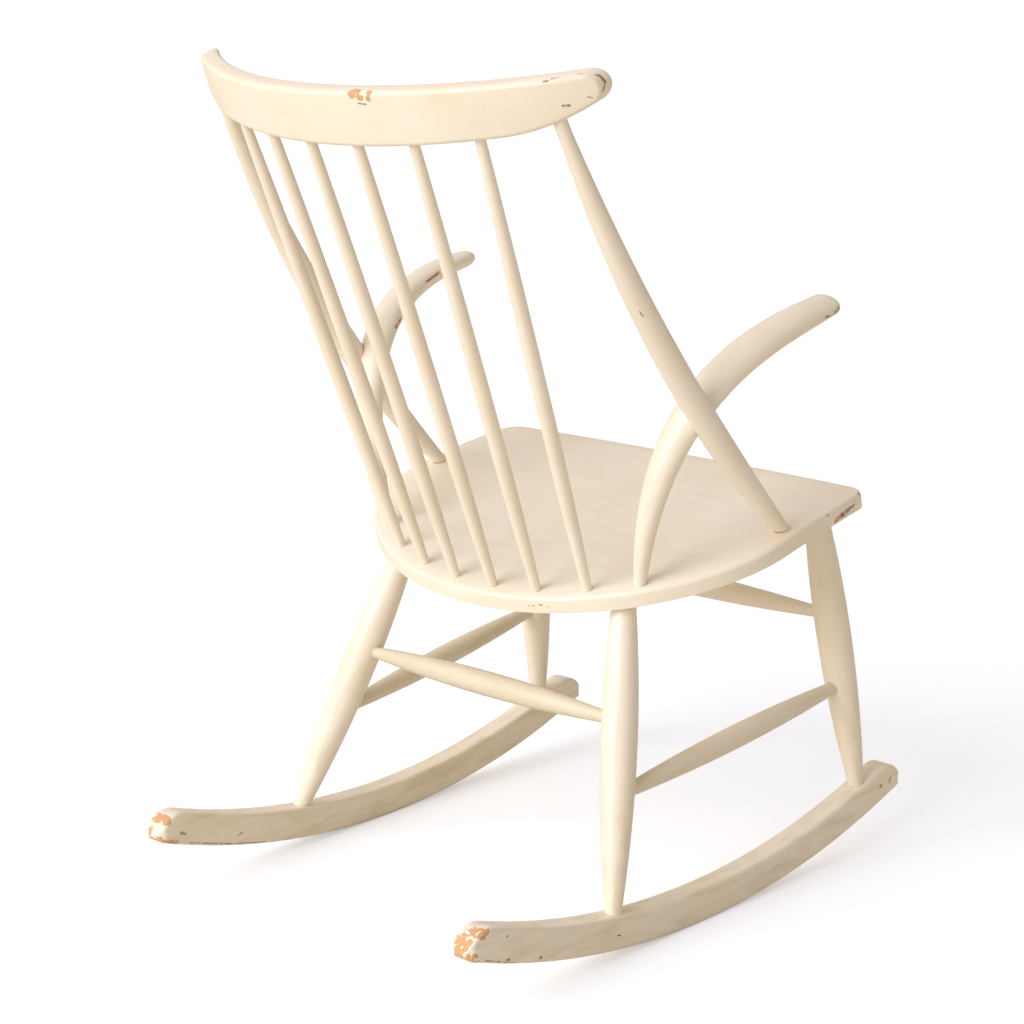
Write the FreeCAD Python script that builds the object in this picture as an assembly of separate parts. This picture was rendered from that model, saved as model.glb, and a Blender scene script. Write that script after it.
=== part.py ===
import FreeCAD, Part
import math
import os

from FreeCAD import Matrix, Placement, Rotation, Vector

# Spindle back rocking chair, in millimetres and degrees.
# The chair faces -Y, +Z is up and X = 0 is its plane of symmetry.
# The origin lies on the floor, midway between the rocker tips.
# Side +1 is the sitter's left (+X) and side -1 is the sitter's right.

# Round joints: tenons glued into blind bored sockets
glue_gap = 0.1
socket_end_gap = 1.0
bore_overrun = 12.0

# Rockers
rocker_radius = 988.0
rocker_height = 36.0
rocker_thickness = 28.0
rocker_reach = 352.0
rocker_half_gauge = 236.0
rocker_splay_angle = 1.2
rocker_nose_length = 21.0
rocker_top_round = 27.0
rocker_tip_round = 7.0
rocker_edge_round = 4.0

# Seat board, bent to a slight crown from front to rear and dished on top
seat_rear_y = 104.0
seat_rear_z = 338.0
seat_front_y = -262.0
seat_front_z = 427.0
seat_crown = 13.0
seat_thickness = 22.0
seat_half_width = 271.0
seat_rear_depth = 205.0
seat_front_half_width = 262.0
seat_front_bow = 7.0
seat_corner_radius = 26.0
seat_under_bevel_height = 4.5
seat_under_bevel_width = 18.0
seat_top_round = 5.0
dish_depth = 11.0
dish_side_rim = 39.0
dish_half_width = seat_half_width - dish_side_rim
dish_half_length = 172.0

# Crest rail, bowed across the back and leaning with the spindles
crest_base_y = 283.5
crest_base_z = 818.5
crest_lean_angle = 19.0
crest_radius = 424.0
crest_thickness = 21.0
crest_height = 56.5
crest_half_length = 275.0
crest_straight_half_length = 190.0
crest_tip_height = 32.0
crest_end_radius = 16.0
crest_edge_round = 5.0

# Spindles
spindle_pairs = 3
spindle_rim_inset = 15.0
spindle_foot_pitch = 54.5
spindle_top_pitch = 66.0
spindle_end_diameter = 10.5
spindle_belly_diameter = 16.2
spindle_belly_share = 0.34
spindle_seat_tenon = 15.0
spindle_crest_tenon = 22.0
spindle_root = 4.0

# Bowed back posts
post_foot_inset = 20.0
post_foot_x = seat_half_width - post_foot_inset
post_foot_y = -117.0
post_middle_x = 246.0
post_middle_y = 82.0
post_middle_z = 623.0
post_top_x = 235.0
post_foot_diameter = 15.5
post_belly_diameter = 28.5
post_top_diameter = 13.5
post_belly_share = 0.34
post_seat_tenon = 19.0
post_crest_tenon = 16.0
post_root = 9.0
post_steps = 18

# Horn shaped arms
arm_foot_x = 184.0
arm_tip_x = 261.0
arm_tip_y = -164.0
arm_tip_z = 637.0
arm_lower_bend_shares = (0.54, -0.19, 0.81)
arm_upper_bend_shares = (1.11, 0.53, 0.94)
arm_foot_diameter = 14.0
arm_width = 41.0
arm_depth = 29.0
arm_bank_angle = 14.0
arm_tip_length = 16.0
arm_tenon = 16.0
arm_root = 5.0
# Place along the arm, then how far width and depth have grown from the foot to full size
arm_swell_shares = (
    (0.00, 0.00, 0.00),
    (0.12, 0.28, 0.40),
    (0.25, 0.56, 0.76),
    (0.40, 0.82, 0.98),
    (0.55, 0.97, 1.04),
    (0.70, 1.02, 0.96),
    (0.85, 0.99, 0.74),
    (1.00, 0.83, 0.42),
)
arm_steps = 24
arm_tip_steps = 6

# Steps along a turned piece, and control points and degree round a shaped one
turned_steps = 12
oval_poles = 8
oval_degree = 3

# Dowel that pins each arm to its post where they cross
arm_dowel_diameter = 8.0
arm_dowel_end_cover = 5.0

# Legs
rear_leg_foot_y = 131.0
rear_leg_top_x = 160.0
rear_leg_top_y = 37.0
front_leg_foot_y = -281.0
front_leg_top_x = 210.0
front_leg_top_y = -226.0
leg_foot_diameter = 18.5
leg_belly_diameter = 38.5
leg_top_diameter = 27.0
leg_belly_share = 0.58
leg_rocker_tenon = 22.0
leg_seat_tenon = 14.0
leg_foot_root = 5.0
leg_top_root = 12.0

# Stretchers
side_stretcher_rear_z = 154.0
side_stretcher_front_z = 197.0
rear_stretcher_z = 225.0
front_stretcher_z = 278.0
side_stretcher_end_diameter = 15.0
side_stretcher_belly_diameter = 25.0
cross_stretcher_end_diameter = 13.5
cross_stretcher_belly_diameter = 27.0
stretcher_tenon = 14.0
stretcher_root = 5.0

left = 1
right = -1
axis_x = Vector(1, 0, 0)
axis_y = Vector(0, 1, 0)
axis_z = Vector(0, 0, 1)
full_turn = 360.0


def mirrored(point, side):
    """The same point on the other side of the chair when side is -1."""
    return Vector(side * point.x, point.y, point.z)


def unit(vector):
    return vector / vector.Length


def share_between(start, end, share):
    return start + (end - start) * share


# Seat frame: X across, Y back along the board from its rear top edge, Z square to the board
seat_run = seat_rear_y - seat_front_y
seat_rise = seat_front_z - seat_rear_z
seat_length = math.hypot(seat_run, seat_rise)
seat_tilt = math.degrees(math.atan2(seat_rise, seat_run))
seat_frame = Placement(Vector(0, seat_rear_y, seat_rear_z), Rotation(axis_x, -seat_tilt))
crown_radius = (seat_length ** 2 / 4 + seat_crown ** 2) / (2 * seat_crown)

# Crest frame: X across, Y square to the rail at its middle, Z up the lean
crest_frame = Placement(
    Vector(0, crest_base_y, crest_base_z), Rotation(axis_x, -crest_lean_angle))


def crown_height(board_y):
    """Height of the crowned top over the seat frame's own plane."""
    from_middle = board_y + seat_length / 2
    return math.sqrt(crown_radius ** 2 - from_middle ** 2) - crown_radius + seat_crown


def on_board(x, board_y, depth=0):
    """A point of the seat's crowned top, or the given depth under it."""
    return seat_frame.multVec(Vector(x, board_y, crown_height(board_y) - depth))


def board_y_at(y):
    """Place along the board of the crowned top's point at a given Y of the chair."""
    low = -seat_length
    high = 0.0
    while high - low > seat_length / 1e6:
        middle = (low + high) / 2
        if on_board(0, middle).y < y:
            low = middle
        else:
            high = middle
    return (low + high) / 2


def rim_point(x):
    """Where a piece stands on the seat's rear rim, inset from the rounded edge."""
    across = x / (seat_half_width - spindle_rim_inset)
    along = (seat_rear_depth - spindle_rim_inset) * math.sqrt(1 - across ** 2)
    return on_board(x, along - seat_rear_depth)


def crest_point(x):
    """A point on the middle line of the crest rail's lower edge."""
    bow = math.sqrt(crest_radius ** 2 - x ** 2) - crest_radius
    return crest_frame.multVec(Vector(x, bow, 0))


def rocker_point(y):
    """A point on the middle line of the left rocker's upper face."""
    upper_radius = rocker_radius - rocker_height
    x = rocker_half_gauge - y * math.tan(math.radians(rocker_splay_angle))
    return Vector(x, y, rocker_radius - math.sqrt(upper_radius ** 2 - y ** 2))


def spindle_ends(number):
    """Foot and top of a left hand spindle, counted outward from the middle."""
    place = number + 0.5
    return rim_point(place * spindle_foot_pitch), crest_point(place * spindle_top_pitch)


rear_leg_foot = rocker_point(rear_leg_foot_y)
rear_leg_top = on_board(rear_leg_top_x, board_y_at(rear_leg_top_y), seat_thickness)
front_leg_foot = rocker_point(front_leg_foot_y)
front_leg_top = on_board(front_leg_top_x, board_y_at(front_leg_top_y), seat_thickness)


def leg_point(foot, top, z):
    """The point of a leg's axis at a height over the floor."""
    return share_between(foot, top, (z - foot.z) / (top.z - foot.z))


# Shapes


def swelling(place, belly_share, start_radius, belly_radius, end_radius):
    """Radius of a turned piece that swells to a belly, at a place from 0 to 1."""
    if place < belly_share:
        away = (belly_share - place) / belly_share
        return belly_radius - (belly_radius - start_radius) * away ** 2
    away = (place - belly_share) / (1 - belly_share)
    return belly_radius - (belly_radius - end_radius) * away ** 2


def turned_piece(start, end, diameters, belly_share, tenons, roots):
    """A lathe turned bar from start to end, with a plain tenon past each end.

    diameters holds start, belly and end, tenons the lengths in the sockets, and
    roots the plain lengths that stay outside them.
    """
    length = (end - start).Length
    axis = unit(end - start)
    across = axis_x if abs(axis.x) < 1 / 2 else axis_z
    start_radius, belly_radius, end_radius = [diameter / 2 for diameter in diameters]
    sections = [oval(start - axis * tenons[0], axis, across, start_radius, start_radius)]
    for step in range(turned_steps + 1):
        share = step / turned_steps
        radius = swelling(share, belly_share, start_radius, belly_radius, end_radius)
        centre = start + axis * share_between(roots[0], length - roots[1], share)
        sections.append(oval(centre, axis, across, radius, radius))
    sections.append(oval(end + axis * tenons[1], axis, across, end_radius, end_radius))
    return Part.makeLoft(sections, True, True)


def bore(host, mouth, inward, diameter, depth):
    """The host with a blind round socket, bored from its mouth along inward."""
    radius = diameter / 2 + glue_gap
    direction = unit(inward)
    length = bore_overrun + depth + socket_end_gap
    drill = Part.makeCylinder(radius, length, mouth - direction * bore_overrun, direction)
    return one_solid(host.cut(drill))


def bore_pair(host, mouth, inward, diameter, depth):
    """The host with the same socket on both sides of the chair."""
    for side in (left, right):
        host = bore(host, mirrored(mouth, side), mirrored(inward, side), diameter, depth)
    return host


def oval(centre, along, across, half_width, half_depth):
    """A closed oval wire square to along, its width measured along across."""
    out = unit(across - along * across.dot(along))
    up = along.cross(out)
    sector = 2 * math.pi / oval_poles
    reach = 3 / (2 + math.cos(sector))
    poles = []
    for step in range(oval_poles):
        width_share = reach * math.cos(sector * step)
        depth_share = reach * math.sin(sector * step)
        poles.append(centre + out * half_width * width_share + up * half_depth * depth_share)
    curve = Part.BSplineCurve()
    knots = list(range(oval_poles + 1))
    curve.buildFromPolesMultsKnots(poles, [1] * len(knots), knots, True, oval_degree)
    return Part.Wire(curve.toShape())


def one_solid(shape):
    """The single solid that a boolean or a loft leaves."""
    return shape.Solids[0]


def mirror_image(shape):
    """The right hand piece that matches a left hand one."""
    return shape.mirror(Vector(0, 0, 0), axis_x)


def ring_faces(shape, radius, slack):
    """Faces of a piece that bend about X with nearly the given radius."""
    found = []
    for face in shape.Faces:
        surface = face.Surface
        if isinstance(surface, Part.Cylinder) and abs(surface.Axis.x) > 1 / 2:
            if abs(surface.Radius - radius) < slack:
                found.append(face)
    return found


# Pieces


def make_rocker():
    """The left runner, sawn to an arc, its ends rounded down and nosed, its long edges eased."""
    reach_angle = math.degrees(math.asin(rocker_reach / rocker_radius))
    half = rocker_thickness / 2
    centre = Vector(0, 0, rocker_radius)
    section = Part.Face(Part.makePolygon([
        Vector(-half, 0, 0), Vector(half, 0, 0), Vector(half, 0, rocker_height),
        Vector(-half, 0, rocker_height), Vector(-half, 0, 0)]))
    section.rotate(centre, axis_x, -reach_angle)
    bar = section.revolve(centre, axis_x, 2 * reach_angle)

    def end_edges(radius):
        found = []
        for edge in bar.Edges:
            if isinstance(edge.Curve, Part.Line) and abs(edge.tangentAt(edge.FirstParameter).x) > 1 / 2:
                middle = edge.CenterOfMass
                if abs(math.hypot(middle.y, middle.z - rocker_radius) - radius) < rocker_height / 4:
                    found.append(edge)
        return found

    bar = bar.makeFillet(rocker_top_round, end_edges(rocker_radius - rocker_height))
    bar = bar.makeFillet(rocker_tip_round, end_edges(rocker_radius))
    side_edges = []
    for face in bar.Faces:
        if isinstance(face.Surface, Part.Plane) and abs(face.Surface.Axis.x) > 1 / 2:
            side_edges.extend(face.OuterWire.Edges)
    bar = bar.makeFillet(rocker_edge_round, side_edges)

    shoulder = rocker_reach - rocker_nose_length
    plan = []
    for way in (left, right):
        corner = Vector(way * half, way * shoulder, 0)
        far_corner = Vector(-way * half, way * shoulder, 0)
        plan.append(Part.makeLine(Vector(way * half, -way * shoulder, 0), corner))
        plan.append(Part.Arc(corner, Vector(0, way * rocker_reach, 0), far_corner).toShape())
    bar = one_solid(bar.common(Part.Face(Part.Wire(plan)).extrude(centre)))
    bar.rotate(Vector(0, 0, 0), axis_z, rocker_splay_angle)
    bar.translate(Vector(rocker_half_gauge, 0, 0))
    for foot, top in ((rear_leg_foot, rear_leg_top), (front_leg_foot, front_leg_top)):
        bar = bore(bar, foot, foot - top, leg_foot_diameter, leg_rocker_tenon)
    return bar


def seat_outline():
    """The board's D shape in the seat frame: round rear, long sides and a bowed front."""
    rear_centre = -seat_rear_depth
    ellipse = Part.Ellipse(Vector(0, rear_centre, 0), seat_half_width, seat_rear_depth)
    rear = Part.Arc(ellipse, 0, math.pi).toShape()
    front_y = seat_front_bow - seat_length
    run = rear_centre - front_y
    draw_in = seat_half_width - seat_front_half_width
    side_bend = 2 * draw_in / (run ** 2 + draw_in ** 2)
    middle_bend = side_bend * run / 2
    middle_x = seat_half_width - middle_bend * run / 2 / (1 + math.sqrt(1 - middle_bend ** 2))

    def side_arc(side):
        return Part.Arc(
            Vector(side * seat_half_width, rear_centre, 0),
            Vector(side * middle_x, rear_centre - run / 2, 0),
            Vector(side * seat_front_half_width, front_y, 0)).toShape()

    front = Part.Arc(
        Vector(-seat_front_half_width, front_y, 0), Vector(0, -seat_length, 0),
        Vector(seat_front_half_width, front_y, 0)).toShape()
    return Part.Wire([rear, side_arc(right), front, side_arc(left)])


def seat_dish():
    """A shallow bowl, as a ball stretched so that it meets the crowned top on an oval."""
    across_radius = dish_half_width ** 2 / (2 * dish_depth)
    along_radius = 1 / (2 * dish_depth / dish_half_length ** 2 - 1 / crown_radius)
    ball = Part.makeSphere(crown_radius)
    ball.rotate(Vector(0, 0, 0), axis_y, -full_turn / 4)
    stretch = Matrix()
    stretch.A11 = math.sqrt(across_radius / crown_radius)
    stretch.A22 = math.sqrt(along_radius / crown_radius)
    bowl = ball.transformGeometry(stretch)
    bowl.translate(Vector(0, -seat_length / 2, crown_radius + seat_crown - dish_depth))
    return bowl


def make_seat():
    """The dished board, eased above and bevelled below, bored for all that it carries."""
    outline = Part.Face(seat_outline())
    outline.translate(Vector(0, 0, -2 * seat_thickness))
    block = outline.extrude(Vector(0, 0, 4 * seat_thickness))
    front_corners = []
    for edge in block.Edges:
        if isinstance(edge.Curve, Part.Line) and edge.CenterOfMass.y < -seat_length * 3 / 4:
            front_corners.append(edge)
    block = block.makeFillet(seat_corner_radius, front_corners)

    width = 4 * seat_half_width
    crown_axis = Vector(-width / 2, -seat_length / 2, seat_crown - crown_radius)
    shell = Part.makeCylinder(crown_radius, width, crown_axis, axis_x)
    shell = shell.cut(Part.makeCylinder(crown_radius - seat_thickness, width, crown_axis, axis_x))
    shell.rotate(crown_axis, axis_x, full_turn / 2)
    board = one_solid(block.common(shell))

    under_edges = []
    for face in ring_faces(board, crown_radius - seat_thickness, seat_thickness / 4):
        under_edges.extend(face.OuterWire.Edges)
    board = board.makeChamfer(seat_under_bevel_height, seat_under_bevel_width, under_edges)
    top_edges = []
    for face in ring_faces(board, crown_radius, seat_thickness / 4):
        top_edges.extend(face.OuterWire.Edges)
    board = board.makeFillet(seat_top_round, top_edges)
    board = one_solid(board.cut(seat_dish()))
    board.Placement = seat_frame

    for number in range(spindle_pairs):
        foot, top = spindle_ends(number)
        board = bore_pair(board, foot, foot - top, spindle_end_diameter, spindle_seat_tenon)
    mouth, inward = post_joint(at_foot=True)
    board = bore_pair(board, mouth, inward, post_foot_diameter, post_seat_tenon)
    mouth, inward = arm_joint()
    board = bore_pair(board, mouth, inward, arm_foot_diameter, arm_tenon)
    for foot, top in ((rear_leg_foot, rear_leg_top), (front_leg_foot, front_leg_top)):
        board = bore_pair(board, top, top - foot, leg_top_diameter, leg_seat_tenon)
    return board


def crest_outline():
    """The rail seen square to its middle: straight below, round ended and crowned above."""
    end_x = crest_half_length - crest_end_radius
    rise_run = end_x - crest_straight_half_length
    rise_radius = rise_run ** 2 + crest_tip_height ** 2 - crest_end_radius ** 2
    rise_radius = rise_radius / (2 * (crest_tip_height - crest_end_radius))
    drop = crest_height - crest_tip_height
    crown = (end_x ** 2 + drop ** 2 - crest_end_radius ** 2) / (2 * (drop - crest_end_radius))

    def meeting(centre_x, centre_z, radius):
        away = unit(Vector(end_x - centre_x, 0, crest_tip_height - centre_z))
        return Vector(centre_x, 0, centre_z) + away * radius

    low_meet = meeting(crest_straight_half_length, rise_radius, rise_radius)
    high_meet = meeting(0, crest_height - crown, crown)
    rise_middle = low_meet.x - crest_straight_half_length
    rise_angle = math.asin(rise_middle / rise_radius) / 2
    rise_point = Vector(
        crest_straight_half_length + rise_radius * math.sin(rise_angle), 0,
        rise_radius * (1 - math.cos(rise_angle)))
    tip = Vector(crest_half_length, 0, crest_tip_height)
    low_end = Vector(crest_straight_half_length, 0, 0)
    top = Vector(0, 0, crest_height)
    return Part.Wire([
        Part.makeLine(mirrored(low_end, right), low_end),
        Part.Arc(low_end, rise_point, low_meet).toShape(),
        Part.Arc(low_meet, tip, high_meet).toShape(),
        Part.Arc(high_meet, top, mirrored(high_meet, right)).toShape(),
        Part.Arc(mirrored(high_meet, right), mirrored(tip, right), mirrored(low_meet, right)).toShape(),
        Part.Arc(mirrored(low_meet, right), mirrored(rise_point, right),
                 mirrored(low_end, right)).toShape(),
    ])


def make_crest_rail():
    """The bowed top rail, sawn from the solid, its edges rounded, bored for the back."""
    blank_half = (crest_half_length + crest_radius) / 2
    ends = []
    blank = []
    for radius in (crest_radius - crest_thickness / 2, crest_radius + crest_thickness / 2):
        end = Vector(blank_half, math.sqrt(radius ** 2 - blank_half ** 2) - crest_radius, 0)
        middle = Vector(0, radius - crest_radius, 0)
        blank.append(Part.Arc(mirrored(end, right), middle, end).toShape())
        ends.append(end)
    for side in (left, right):
        blank.append(Part.makeLine(mirrored(ends[0], side), mirrored(ends[1], side)))
    blank = Part.Face(Part.Wire(Part.__sortEdges__(blank)))
    blank.translate(Vector(0, 0, -crest_height))
    blank = blank.extrude(Vector(0, 0, 3 * crest_height))
    outline = Part.Face(crest_outline())
    outline.translate(Vector(0, -crest_radius, 0))
    rail = one_solid(blank.common(outline.extrude(Vector(0, 2 * crest_radius, 0))))
    long_edges = []
    for face in rail.Faces:
        surface = face.Surface
        if isinstance(surface, Part.Cylinder) and abs(surface.Axis.z) > 1 / 2:
            long_edges.extend(face.OuterWire.Edges)
    rail = rail.makeFillet(crest_edge_round, long_edges)
    rail.Placement = crest_frame
    for number in range(spindle_pairs):
        foot, top = spindle_ends(number)
        rail = bore_pair(rail, top, top - foot, spindle_end_diameter, spindle_crest_tenon)
    mouth, inward = post_joint(at_foot=False)
    return bore_pair(rail, mouth, inward, post_top_diameter, post_crest_tenon)


def make_spindle(number):
    foot, top = spindle_ends(number)
    return turned_piece(
        foot, top, (spindle_end_diameter, spindle_belly_diameter, spindle_end_diameter),
        spindle_belly_share, (spindle_seat_tenon, spindle_crest_tenon), (spindle_root, spindle_root))


def post_line():
    """The bowed middle line of the left post, from the seat's top to the crest rail."""
    foot = on_board(post_foot_x, board_y_at(post_foot_y))
    middle = Vector(post_middle_x, post_middle_y, post_middle_z)
    return Part.Arc(foot, middle, crest_point(post_top_x)).toShape()


def place_on(line, length):
    """Point and direction of a middle line at a length from its start."""
    parameter = line.getParameterByLength(length)
    return line.valueAt(parameter), unit(line.tangentAt(parameter))


def post_joint(at_foot):
    """Mouth of a post's socket and the way that its tenon points into it."""
    line = post_line()
    if at_foot:
        point, along = place_on(line, post_root)
        return point - along * post_root, along * -1
    point, along = place_on(line, line.Length - post_root)
    return point + along * post_root, along


def make_post(gap=0):
    """The left back post, swelling to a belly along its bow; gap grows it to cut its housing."""
    line = post_line()
    foot_radius = post_foot_diameter / 2
    top_radius = post_top_diameter / 2
    mouth, inward = post_joint(at_foot=True)
    end = mouth + inward * post_seat_tenon
    sections = [oval(end, inward * -1, axis_x, foot_radius + gap, foot_radius + gap)]
    for step in range(post_steps + 1):
        share = step / post_steps
        point, along = place_on(line, share_between(post_root, line.Length - post_root, share))
        radius = swelling(
            share, post_belly_share, foot_radius, post_belly_diameter / 2, top_radius) + gap
        sections.append(oval(point, along, axis_x, radius, radius))
    mouth, inward = post_joint(at_foot=False)
    end = mouth + inward * post_crest_tenon
    sections.append(oval(end, inward, axis_x, top_radius + gap, top_radius + gap))
    return Part.makeLoft(sections, True, True)


def make_back_post():
    """The left back post with the bore for the arm's dowel."""
    return one_solid(make_post().cut(make_arm_dowel(glue_gap)))


def arm_line():
    """The middle line of the left arm, rising from the rim and sweeping forward."""
    foot = rim_point(arm_foot_x)
    tip = Vector(arm_tip_x, arm_tip_y, arm_tip_z)
    poles = [foot]
    for shares in (arm_lower_bend_shares, arm_upper_bend_shares):
        reach = tip - foot
        poles.append(foot + Vector(reach.x * shares[0], reach.y * shares[1], reach.z * shares[2]))
    poles.append(tip)
    curve = Part.BezierCurve()
    curve.setPoles(poles)
    return curve.toShape()


def arm_joint():
    """Mouth of the left arm's socket and the way that its tenon points into it."""
    point, along = place_on(arm_line(), arm_root)
    return point - along * arm_root, along * -1


def arm_crossing():
    """Where the left arm's and post's middle lines pass nearest each other."""
    pairs = arm_line().distToShape(post_line())[1]
    return pairs[0][0], pairs[0][1]


def arm_size(share):
    """Half width and half depth of the arm at a share of its length from the root."""
    for low, high in zip(arm_swell_shares, arm_swell_shares[1:]):
        if share <= high[0]:
            break
    between = (share - low[0]) / (high[0] - low[0])
    foot_radius = arm_foot_diameter / 2
    width_grown = share_between(low[1], high[1], between)
    depth_grown = share_between(low[2], high[2], between)
    half_width = share_between(foot_radius, arm_width / 2, width_grown)
    return half_width, share_between(foot_radius, arm_depth / 2, depth_grown)


def make_arm():
    """The left arm: round at its foot, a broad banked oval forward, with a housing for the post."""
    line = arm_line()
    bank = math.radians(arm_bank_angle)
    across = Vector(math.cos(bank), 0, -math.sin(bank))
    mouth, inward = arm_joint()
    half_width, half_depth = arm_size(0)
    end = mouth + inward * arm_tenon
    sections = [oval(end, inward * -1, across, half_width, half_depth)]
    for step in range(arm_steps + 1):
        share = step / arm_steps
        point, along = place_on(line, share_between(arm_root, line.Length, share))
        half_width, half_depth = arm_size(share)
        sections.append(oval(point, along, across, half_width, half_depth))
    for step in range(1, arm_tip_steps):
        angle = math.pi / 2 * step / arm_tip_steps
        centre = point + along * arm_tip_length * math.sin(angle)
        fall = math.cos(angle)
        sections.append(oval(centre, along, across, half_width * fall, half_depth * fall))
    sections.append(Part.Vertex(point + along * arm_tip_length))
    arm = Part.makeLoft(sections, True, True)
    arm = one_solid(arm.cut(make_post(glue_gap)))
    return one_solid(arm.cut(make_arm_dowel(glue_gap)))


def make_arm_dowel(gap=0):
    """The pin through the left lap joint; gap grows it to cut its bore."""
    on_arm, on_post = arm_crossing()
    direction = unit(on_post - on_arm)
    reach = post_belly_diameter / 2 - arm_dowel_end_cover
    start = on_arm - direction * (reach + gap)
    length = (on_post - on_arm).Length + 2 * (reach + gap)
    return Part.makeCylinder(arm_dowel_diameter / 2 + gap, length, start, direction)


def make_leg(foot, top, stretcher_heights):
    """A left leg, bored for the stretchers given as height and far point."""
    leg = turned_piece(
        foot, top, (leg_foot_diameter, leg_belly_diameter, leg_top_diameter), leg_belly_share,
        (leg_rocker_tenon, leg_seat_tenon), (leg_foot_root, leg_top_root))
    for height, far_point, diameter in stretcher_heights:
        mouth = stretcher_mouth(foot, top, height, far_point)
        leg = bore(leg, mouth, leg_point(foot, top, height) - far_point, diameter, stretcher_tenon)
    return leg


def stretcher_mouth(foot, top, height, far_point):
    """Where a stretcher towards far_point leaves a leg's surface."""
    centre = leg_point(foot, top, height)
    length = (top - foot).Length
    place = ((centre - foot).Length - leg_foot_root) / (length - leg_foot_root - leg_top_root)
    radius = swelling(
        place, leg_belly_share, leg_foot_diameter / 2, leg_belly_diameter / 2, leg_top_diameter / 2)
    return centre + unit(far_point - centre) * radius


def make_stretcher(start_leg, start_z, end_leg, end_z, end_diameter, belly_diameter):
    """A turned stretcher between two legs, each given as its foot and top."""
    start_centre = leg_point(*start_leg, start_z)
    end_centre = leg_point(*end_leg, end_z)
    start = stretcher_mouth(*start_leg, start_z, end_centre)
    end = stretcher_mouth(*end_leg, end_z, start_centre)
    return turned_piece(
        start, end, (end_diameter, belly_diameter, end_diameter), 1 / 2,
        (stretcher_tenon, stretcher_tenon), (stretcher_root, stretcher_root))


def build_pieces():
    """Every piece of the chair by its node name."""
    rear_leg = (rear_leg_foot, rear_leg_top)
    front_leg = (front_leg_foot, front_leg_top)
    rear_side_end = leg_point(*rear_leg, side_stretcher_rear_z)
    front_side_end = leg_point(*front_leg, side_stretcher_front_z)
    rear_cross_end = leg_point(*rear_leg, rear_stretcher_z)
    front_cross_end = leg_point(*front_leg, front_stretcher_z)
    on_left = {
        "rocker": make_rocker(),
        "back_post": make_back_post(),
        "arm": make_arm(),
        "arm_dowel": make_arm_dowel(),
        "rear_leg": make_leg(*rear_leg, [
            (side_stretcher_rear_z, front_side_end, side_stretcher_end_diameter),
            (rear_stretcher_z, mirrored(rear_cross_end, right), cross_stretcher_end_diameter)]),
        "front_leg": make_leg(*front_leg, [
            (side_stretcher_front_z, rear_side_end, side_stretcher_end_diameter),
            (front_stretcher_z, mirrored(front_cross_end, right), cross_stretcher_end_diameter)]),
        "side_stretcher": make_stretcher(
            rear_leg, side_stretcher_rear_z, front_leg, side_stretcher_front_z,
            side_stretcher_end_diameter, side_stretcher_belly_diameter),
    }
    for number in range(spindle_pairs):
        on_left["spindle_" + str(number + 1)] = make_spindle(number)
    pieces = {"seat": make_seat(), "crest_rail": make_crest_rail()}
    for name, z, leg in (
            ("rear_stretcher", rear_stretcher_z, rear_leg),
            ("front_stretcher", front_stretcher_z, front_leg)):
        far_leg = [mirrored(point, right) for point in leg]
        pieces[name] = make_stretcher(
            leg, z, far_leg, z, cross_stretcher_end_diameter, cross_stretcher_belly_diameter)
    for name, shape in on_left.items():
        pieces[name + "_left"] = shape
        pieces[name + "_right"] = mirror_image(shape)
    return pieces


def main():
    os.makedirs("parts", exist_ok=True)
    for name, shape in build_pieces().items():
        shape.exportStep("parts/" + name + ".step")


main()
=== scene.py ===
import math

import bmesh
import bpy
import numpy
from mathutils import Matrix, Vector


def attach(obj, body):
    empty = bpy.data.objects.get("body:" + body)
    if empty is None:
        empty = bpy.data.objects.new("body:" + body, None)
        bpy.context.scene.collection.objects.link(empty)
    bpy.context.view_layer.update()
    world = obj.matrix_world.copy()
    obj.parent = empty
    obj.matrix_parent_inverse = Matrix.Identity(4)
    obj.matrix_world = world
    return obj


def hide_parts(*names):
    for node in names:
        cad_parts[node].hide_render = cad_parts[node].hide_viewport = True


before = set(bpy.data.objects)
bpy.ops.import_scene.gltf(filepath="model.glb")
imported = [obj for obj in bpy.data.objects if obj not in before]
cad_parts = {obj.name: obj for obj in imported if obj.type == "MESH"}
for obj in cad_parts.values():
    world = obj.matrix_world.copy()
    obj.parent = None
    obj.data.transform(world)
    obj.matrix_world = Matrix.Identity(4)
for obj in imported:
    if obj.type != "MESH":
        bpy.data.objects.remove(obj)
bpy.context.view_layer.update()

# A spindle back rocking chair in old cream paint, worn through to the wood here and there.
# Metres. The chair faces -Y, +Z is up and +X is the sitter's left.

millimetre = 0.001

# Colours, as sRGB hex values
paint_cream = "F3EBDB"
paint_yellowed = "EFE3CB"
# Brown-grey of floor soil, partly painted shade, on the low pieces and stretchers
paint_soiled_and_shaded = "B9A985"
undercoat_white = "F8F1E2"
# Brown of the painted shade in the corners beside joints
corner_shade_colour = "8F7550"
bare_wood_light = "E9BD90"
bare_wood_dark = "C68F5E"
dent_brown = "87593A"
surround_low = "FFF0DA"
surround_high = "FFF3F0"
floor_warm = "E8E3D7"
floor_white = "E2E8F2"
floor_lift_colour = "FDFDFD"
backdrop_white = "FFFFFF"

# Roughness of the finishes, and the gloss left on the paint
paint_roughness_least = 0.34
paint_roughness_most = 0.44
worn_wood_roughness = 0.72
dowel_roughness = 0.7
floor_roughness = 0.9
gloss_weight = 0.2
gloss_roughness = 0.16

# Sizes of the patterns in the finish. Brush hairs really leave furrows some 0.5 mm apart and beech has
# pores 0.1 mm wide: both are too fine to show, so they are drawn as coarse as given here.
cloud_width = 90 * millimetre
streak_width = 12 * millimetre
furrow_width = 1.6 * millimetre
pore_width = 0.9 * millimetre
tear_width = 6 * millimetre
chip_width = 4 * millimetre
# How far from a joint the painted shade in corners reaches
corner_shade_reach = 3 * millimetre
relief_depth = 0.25 * millimetre

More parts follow.
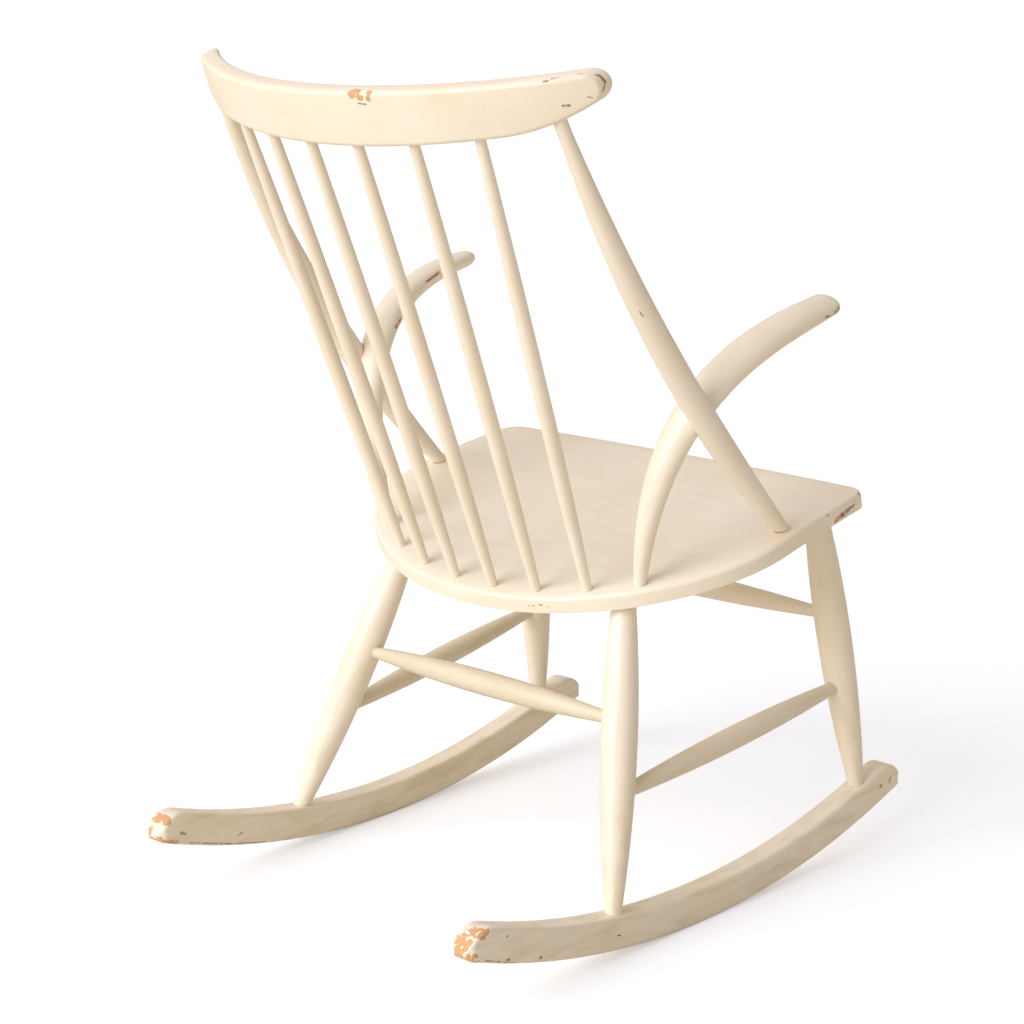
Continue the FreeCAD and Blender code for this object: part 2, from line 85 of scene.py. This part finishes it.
# Width of such a mark over its length along the piece
streak_slimness = 0.2
furrow_slimness = 0.04
worn_pore_slimness = 0.06
dowel_pore_slimness = 0.1

# Soil from the floor, with painted shade, begins at the first height and is most at the second
soil_and_shade_begins = 320 * millimetre
soil_and_shade_is_most = 50 * millimetre

# How the weld and the smoothing of a CAD mesh are made
weld_distance = 0.01 * millimetre
crease_angle = math.radians(38)

# The camera, as worked out from the photograph
camera_azimuth = math.radians(222.742)
camera_elevation = math.radians(13.476)
camera_place = Vector((-1.73645, 1.90882, 1.02116))
image_width = 1024
focal_length_pixels = 2450
sensor_width_mm = 36.0

# Studio: a broad soft key from the left of the camera, and light all round
key_colour = "FBFCFF"
key_strength = 2.15
key_softness = math.radians(45)
key_turn = math.radians(-54)
key_height = math.radians(27)
surround_strength = 0.8
surround_far_share = 0.48
near_side_turn = math.radians(-90)
floor_lift = 0.38
floor_half_width = 120.0

# Places where the paint has gone to the wood: from, to and radius, in millimetres
bared_places = {
    "crest_rail": [
        ((-53, 306, 868), (-61, 305, 867), 5.5),
        ((-71, 303, 864), (-72, 303, 869), 3.0),
    ],
    "rocker_left": [
        ((236, 340, 87), (220, 340, 87), 6.5),
        ((238, 349, 74), (236, 349, 62), 5.5),
        ((236, 348, 64), (218, 348, 64), 6.0),
        ((216, 342, 63), (216, 330, 60), 3.0),
    ],
    "rocker_right": [
        ((-226, 338, 87), (-243, 331, 90), 7.0),
        ((-223, 347, 79), (-226, 350, 66), 7.5),
        ((-226, 349, 66), (-241, 345, 64), 7.0),
        ((-234, 347, 76), (-236, 344, 80), 4.0),
    ],
    "arm_left": [((237, -82, 622), (241, -106, 630), 1.6)],
    "seat": [((-268, -186, 403), (-267, -201, 408), 2.6)],
}

# Knocks and scratches gone dark, in the same way
dark_marks = {
    "crest_rail": [
        ((-240, 238, 886), (-257, 225, 891), 0.7),
        ((-257, 225, 891), (-272, 208, 889), 0.9),
        ((-272, 208, 889), (-275, 203, 883), 1.7),
        ((-275, 203, 883), (-275, 206, 874), 1.0),
        ((-234, 242, 883), (-238, 240, 884), 1.0),
        ((-246, 228, 862), (-251, 225, 862), 1.3),
        ((-266, 216, 870), (-269, 214, 869), 0.9),
        ((-58, 304, 859), (-68, 303, 858), 0.9),
    ],
    "arm_right": [
        ((-279, -167, 635), (-281, -158, 630), 2.6),
        ((-281, -158, 630), (-281, -142, 629), 1.6),
        ((-279, -168, 640), (-277, -170, 645), 0.8),
    ],
    "arm_left": [
        ((238, -84, 622), (241, -106, 629), 1.0),
        ((221, -16, 579), (225, -27, 586), 2.4),
        ((248, -171, 643), (250, -172, 647), 1.2),
    ],
    "seat": [
        ((-267, -202, 408), (-266, -216, 411), 3.4),
        ((-266, -216, 411), (-265, -226, 414), 1.6),
        ((-261, -240, 423), (-261, -243, 423), 1.7),
        ((-268, -172, 412), (-268, -175, 412), 1.2),
        ((-81, 93, 332), (-83, 93, 332), 0.9),
        ((-87, 92, 333), (-89, 91, 333), 0.9),
        ((-93, 90, 335), (-97, 89, 335), 0.9),
        ((-102, 88, 334), (-104, 87, 334), 0.8),
    ],
    "rocker_left": [
        ((215, 322, 68), (215, 317, 66), 1.9),
        ((217, 240, 42), (217, 235, 44), 1.0),
        ((216, 311, 54), (217, 253, 36), 0.8),
        ((217, 253, 36), (218, 201, 23), 0.7),
    ],
    "rocker_right": [
        ((-244, 301, 76), (-244, 299, 76), 1.1),
        ((-244, 300, 52), (-244, 297, 51), 1.5),
        ((-245, 255, 39), (-245, 252, 39), 1.5),
        ((-257, -309, 69), (-257, -311, 70), 1.7),
        ((-257, -326, 71), (-257, -329, 77), 1.4),
        ((-243, 330, 60), (-244, 262, 34), 0.8),
    ],
    "back_post_right": [((-252, 124, 663), (-252, 117, 656), 0.8)],
}

# Stretchers darkened all over, partly soiled by shoes and partly with painted shade, and how much
soiled_and_shaded_shares = {"side_stretcher_left": 0.35, "side_stretcher_right": 0.25, "rear_stretcher": 0.4}

# Pieces that the glued joints hide
hidden_dowels = ("arm_dowel_left", "arm_dowel_right")


def linear(hex_code):
    """Linear colour of an sRGB hex value."""
    channels = [int(hex_code[place:place + 2], 16) / 255 for place in (0, 2, 4)]
    return [c / 12.92 if c <= 0.04045 else ((c + 0.055) / 1.055) ** 2.4 for c in channels] + [1.0]


def socket_at(sockets, place):
    """The socket of a name, or at a place among those that the node's settings leave in use."""
    if isinstance(place, str):
        return sockets[place]
    return [socket for socket in sockets if socket.enabled][place]


def add_node(tree, kind, inputs, output=0, **settings):
    """Add a node with its settings, feed its inputs, a hex value as a colour, and give an output."""
    made = tree.nodes.new(kind)
    for name, value in settings.items():
        setattr(made, name, value)
    for place, value in inputs.items():
        socket = socket_at(made.inputs, place)
        if isinstance(value, bpy.types.NodeSocket):
            tree.links.new(value, socket)
        else:
            socket.default_value = linear(value) if isinstance(value, str) else value
    return socket_at(made.outputs, output) if made.outputs else None


def new_material(name):
    """An empty material, and the node tree that it is built in."""
    material = bpy.data.materials.new(name)
    material.use_nodes = True
    material.node_tree.nodes.clear()
    return material, material.node_tree


def streaks_along(tree, place, width, slimness, detail, roughness=0.5):
    """Noise from 0 to 1 in streaks that run along Z."""
    squeezed = add_node(tree, "ShaderNodeMapping", {0: place, "Scale": (1.0, 1.0, slimness)})
    return add_node(tree, "ShaderNodeTexNoise", {
        "Vector": squeezed, "Scale": 1 / width, "Detail": detail, "Roughness": roughness})


def beech_colour(tree, place, slimness):
    """Pale wood with short darker pores along Z."""
    pores = streaks_along(tree, place, pore_width, slimness, 4.0)
    return add_node(tree, "ShaderNodeMix", {
        0: pores, 1: bare_wood_light, 2: bare_wood_dark}, data_type="RGBA")


def long_axis(piece):
    """Direction in which a piece is longest."""
    points = numpy.array([vertex.co for vertex in piece.data.vertices])
    points -= points.mean(axis=0)
    return Vector(numpy.linalg.svd(points.T @ points)[0][:, 0])


def nearness(tree, place, marks):
    """1.5 on the middle line of the nearest mark, 0.5 on its edge and less outside."""
    nearest = None
    for start, end, radius in marks:
        start = Vector(start) * millimetre
        run = Vector(end) * millimetre - start
        away = add_node(tree, "ShaderNodeVectorMath", {0: place, 1: start}, operation="SUBTRACT")
        along = add_node(tree, "ShaderNodeVectorMath", {
            0: away, 1: run / run.length_squared}, operation="DOT_PRODUCT")
        along = add_node(tree, "ShaderNodeMapRange", {"Value": along})
        foot = add_node(tree, "ShaderNodeVectorMath", {0: run, "Scale": along}, operation="SCALE")
        away = add_node(tree, "ShaderNodeVectorMath", {0: away, 1: foot}, operation="DISTANCE")
        near = add_node(tree, "ShaderNodeMath", {
            0: away, 1: -1 / (radius * millimetre), 2: 1.5}, operation="MULTIPLY_ADD")
        if nearest is not None:
            near = add_node(tree, "ShaderNodeMath", {0: nearest, 1: near}, operation="MAXIMUM")
        nearest = near
    return nearest


def broken_nearness(tree, place, marks, width, least, most):
    """Nearness to the marks with their edges broken up at a width, by factors between two limits."""
    crumbs = add_node(tree, "ShaderNodeTexNoise", {"Vector": place, "Scale": 1 / width, "Detail": 3.0})
    (low, to_low), (high, to_high) = least, most
    factor = add_node(tree, "ShaderNodeMapRange", {
        "Value": crumbs, "From Min": low, "From Max": high, "To Min": to_low, "To Max": to_high})
    return add_node(tree, "ShaderNodeMath", {
        0: nearness(tree, place, marks), 1: factor}, operation="MULTIPLY")


def soiled_and_shaded_colour(tree, place, grain_place, clouds, soil_and_shade_share):
    """Cream paint that has yellowed in clouds, with soil and painted shade in streaks low down, and
    painted shade in the corners.
    """
    yellowing = add_node(tree, "ShaderNodeMapRange", {
        "Value": clouds, "From Min": 0.35, "From Max": 0.7, "To Max": 0.7})
    paint = add_node(tree, "ShaderNodeMix", {
        0: yellowing, 1: paint_cream, 2: paint_yellowed}, data_type="RGBA")
    if soil_and_shade_share:
        paint = add_node(tree, "ShaderNodeMix", {0: soil_and_shade_share, 1: paint, 2: paint_soiled_and_shaded}, data_type="RGBA")

    # The lower on the chair, the more soil and painted shade there is
    height = add_node(tree, "ShaderNodeSeparateXYZ", {0: place}, "Z")
    most_soil_and_shade = add_node(tree, "ShaderNodeMapRange", {
        "Value": height, "From Min": soil_and_shade_begins, "From Max": soil_and_shade_is_most, "To Min": 0.1, "To Max": 0.5})
    streaks = streaks_along(tree, grain_place, streak_width, streak_slimness, 4.0, 0.6)
    soil_and_shade = add_node(tree, "ShaderNodeMapRange", {
        "Value": streaks, "From Min": 0.48, "From Max": 0.8, "To Max": most_soil_and_shade})
    paint = add_node(tree, "ShaderNodeMix", {0: soil_and_shade, 1: paint, 2: paint_soiled_and_shaded}, data_type="RGBA")

    # Painted shade: the paint is darker in the corners beside a joint, where the pieces occlude one
    # another
    occlusion = add_node(tree, "ShaderNodeAmbientOcclusion", {"Distance": corner_shade_reach}, "AO", samples=8)
    corner_shade = add_node(tree, "ShaderNodeMapRange", {
        "Value": occlusion, "From Min": 0.62, "From Max": 0.25, "To Max": 0.6})
    return add_node(tree, "ShaderNodeMix", {0: corner_shade, 1: paint, 2: corner_shade_colour}, data_type="RGBA")


def old_cream_paint(name, along, bared, dark, soil_and_shade_share):
    """Oil paint brushed along the piece on beech: a soft sheen, broken by the furrows of the brush.

    Where it is torn off, its paler undercoat shows at the tear and matt wood inside it.
    """
    material, tree = new_material(name)
    place = add_node(tree, "ShaderNodeTexCoord", {}, "Object")
    turn = Vector((0, 0, 1)).rotation_difference(along).to_euler()
    grain_place = add_node(tree, "ShaderNodeMapping", {0: place, "Rotation": turn}, vector_type="TEXTURE")
    clouds = add_node(tree, "ShaderNodeTexNoise", {
        "Vector": place, "Scale": 1 / cloud_width, "Detail": 3.0})
    colour = soiled_and_shaded_colour(tree, place, grain_place, clouds, soil_and_shade_share)
    roughness = add_node(tree, "ShaderNodeMapRange", {
        "Value": clouds, "From Min": 0.3, "From Max": 0.7,
        "To Min": paint_roughness_least, "To Max": paint_roughness_most})
    furrows = streaks_along(tree, grain_place, furrow_width, furrow_slimness, 3.0, 0.55)
    relief = add_node(tree, "ShaderNodeMath", {0: furrows, 1: 0.05}, operation="MULTIPLY")

    if bared:
        gone = broken_nearness(tree, place, bared, tear_width, (0.34, 0.25), (0.58, 1.4))
        undercoat = add_node(tree, "ShaderNodeMapRange", {
            "Value": gone, "From Min": 0.22, "From Max": 0.34})
        bare = add_node(tree, "ShaderNodeMapRange", {
            "Value": gone, "From Min": 0.46, "From Max": 0.54})
        wood = beech_colour(tree, grain_place, worn_pore_slimness)
        colour = add_node(tree, "ShaderNodeMix", {
            0: undercoat, 1: colour, 2: undercoat_white}, data_type="RGBA")
        colour = add_node(tree, "ShaderNodeMix", {0: bare, 1: colour, 2: wood}, data_type="RGBA")
        roughness = add_node(tree, "ShaderNodeMix", {0: bare, 1: roughness, 2: worn_wood_roughness})
        relief = add_node(tree, "ShaderNodeMath", {0: relief, 1: bare}, operation="SUBTRACT")
    if dark:
        struck = broken_nearness(tree, place, dark, chip_width, (0.36, 0.4), (0.6, 1.2))
        darkness = add_node(tree, "ShaderNodeMapRange", {
            "Value": struck, "From Min": 0.2, "From Max": 0.9, "To Max": 0.85})
        colour = add_node(tree, "ShaderNodeMix", {
            0: darkness, 1: colour, 2: dent_brown}, data_type="RGBA")

    bump = add_node(tree, "ShaderNodeBump", {"Strength": 0.6, "Distance": relief_depth, "Height": relief})
    surface = add_node(tree, "ShaderNodeBsdfPrincipled", {
        "Base Color": colour, "Roughness": roughness, "Normal": bump,
        "Coat Weight": gloss_weight, "Coat Roughness": gloss_roughness})
    add_node(tree, "ShaderNodeOutputMaterial", {"Surface": surface})
    return material


def bare_beech():
    """Turned beech with no finish: pale, matt and finely pored, and seen nowhere once glued in."""
    material, tree = new_material("bare beech")
    place = add_node(tree, "ShaderNodeTexCoord", {}, "Object")
    surface = add_node(tree, "ShaderNodeBsdfPrincipled", {
        "Base Color": beech_colour(tree, place, dowel_pore_slimness), "Roughness": dowel_roughness})
    add_node(tree, "ShaderNodeOutputMaterial", {"Surface": surface})
    return material


def painted_piece(node):
    """The piece that shows in a node's place: its mesh welded, smoothed and painted."""
    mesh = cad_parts[node].data.copy()
    mesh.name = node + "_painted"
    shape = bmesh.new()
    shape.from_mesh(mesh)
    bmesh.ops.remove_doubles(shape, verts=shape.verts, dist=weld_distance)
    for face in shape.faces:
        face.smooth = True
    for edge in shape.edges:
        edge.smooth = edge.calc_face_angle(0) < crease_angle
    shape.to_mesh(mesh)
    shape.free()
    piece = bpy.data.objects.new(node + "_painted", mesh)
    bpy.context.scene.collection.objects.link(piece)
    mesh.materials.clear()
    mesh.materials.append(old_cream_paint(
        "old cream paint on " + node, long_axis(piece), bared_places.get(node), dark_marks.get(node),
        soiled_and_shaded_shares.get(node, 0.0)))
    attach(piece, "root")
    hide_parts(node)


def floor():
    """A plain floor of matt white paint: shadows show softly on it, and it is lifted to white.

    The lift is only for what the camera sees, so the light that the floor throws up stays true.
    """
    material, tree = new_material("matt white studio floor")
    seen = add_node(tree, "ShaderNodeLightPath", {}, "Is Camera Ray")
    lift = add_node(tree, "ShaderNodeMath", {0: seen, 1: floor_lift}, operation="MULTIPLY")
    colour = add_node(tree, "ShaderNodeMix", {0: seen, 1: floor_warm, 2: floor_white}, data_type="RGBA")
    surface = add_node(tree, "ShaderNodeBsdfPrincipled", {
        "Base Color": colour, "Roughness": floor_roughness, "Specular IOR Level": 0.1,
        "Emission Color": floor_lift_colour, "Emission Strength": lift})
    add_node(tree, "ShaderNodeOutputMaterial", {"Surface": surface})
    mesh = bpy.data.meshes.new("floor")
    shape = bmesh.new()
    bmesh.ops.create_grid(shape, x_segments=1, y_segments=1, size=floor_half_width)
    shape.to_mesh(mesh)
    shape.free()
    mesh.materials.append(material)
    piece = bpy.data.objects.new("floor", mesh)
    bpy.context.scene.collection.objects.link(piece)


def away_from_target(azimuth, height):
    """Unit vector from the chair towards a place at an azimuth and height."""
    return Vector((
        math.sin(azimuth) * math.cos(height), -math.cos(azimuth) * math.cos(height), math.sin(height)))


def key_light():
    """The broad soft key from the left of the camera."""
    lamp = bpy.data.lights.new("key", "SUN")
    lamp.color = linear(key_colour)[:3]
    lamp.energy = key_strength
    lamp.angle = key_softness
    key = bpy.data.objects.new("key", lamp)
    bpy.context.scene.collection.objects.link(key)
    towards = away_from_target(camera_azimuth + key_turn, key_height)
    key.rotation_euler = towards.to_track_quat("Z", "Y").to_euler()


def surround():
    """A white studio all round: warmer below than above, and dimmer on the side away from the key."""
    world = bpy.data.worlds.new("white studio")
    world.use_nodes = True
    tree = world.node_tree
    tree.nodes.clear()
    way = add_node(tree, "ShaderNodeTexCoord", {}, "Generated")
    upward = add_node(tree, "ShaderNodeSeparateXYZ", {0: way}, "Z")
    highness = add_node(tree, "ShaderNodeMapRange", {"Value": upward, "From Min": 0.1, "From Max": 0.8})
    shade = add_node(tree, "ShaderNodeMix", {
        0: highness, 1: surround_low, 2: surround_high}, data_type="RGBA")
    near_side = away_from_target(camera_azimuth + near_side_turn, 0)
    nearer = add_node(tree, "ShaderNodeVectorMath", {0: way, 1: near_side}, operation="DOT_PRODUCT")
    strength = add_node(tree, "ShaderNodeMapRange", {
        "Value": nearer, "From Min": -0.8, "From Max": 0.5,
        "To Min": surround_strength * surround_far_share, "To Max": surround_strength})

    # What the camera sees past the floor is plain white
    seen = add_node(tree, "ShaderNodeLightPath", {}, "Is Camera Ray")
    shade = add_node(tree, "ShaderNodeMix", {0: seen, 1: shade, 2: backdrop_white}, data_type="RGBA")
    strength = add_node(tree, "ShaderNodeMapRange", {"Value": seen, "To Min": strength})
    background = add_node(tree, "ShaderNodeBackground", {"Color": shade, "Strength": strength})
    add_node(tree, "ShaderNodeOutputWorld", {"Surface": background})
    bpy.context.scene.world = world


def camera():
    """The photograph's camera: level, with its axis through the middle of the picture."""
    lens = bpy.data.cameras.new("camera")
    lens.sensor_width = sensor_width_mm
    lens.lens = focal_length_pixels * sensor_width_mm / image_width
    lens.clip_end = 2 * floor_half_width
    taken = bpy.data.objects.new("camera", lens)
    bpy.context.scene.collection.objects.link(taken)
    backward = away_from_target(camera_azimuth, camera_elevation)
    taken.rotation_euler = backward.to_track_quat("Z", "Y").to_euler()
    taken.location = camera_place
    bpy.context.scene.camera = taken


for node in sorted(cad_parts):
    if node not in hidden_dowels:
        painted_piece(node)
dowel_wood = bare_beech()
for node in hidden_dowels:
    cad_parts[node].material_slots[0].material = dowel_wood
floor()
key_light()
surround()
camera()
bpy.context.scene.view_settings.view_transform = "Standard"
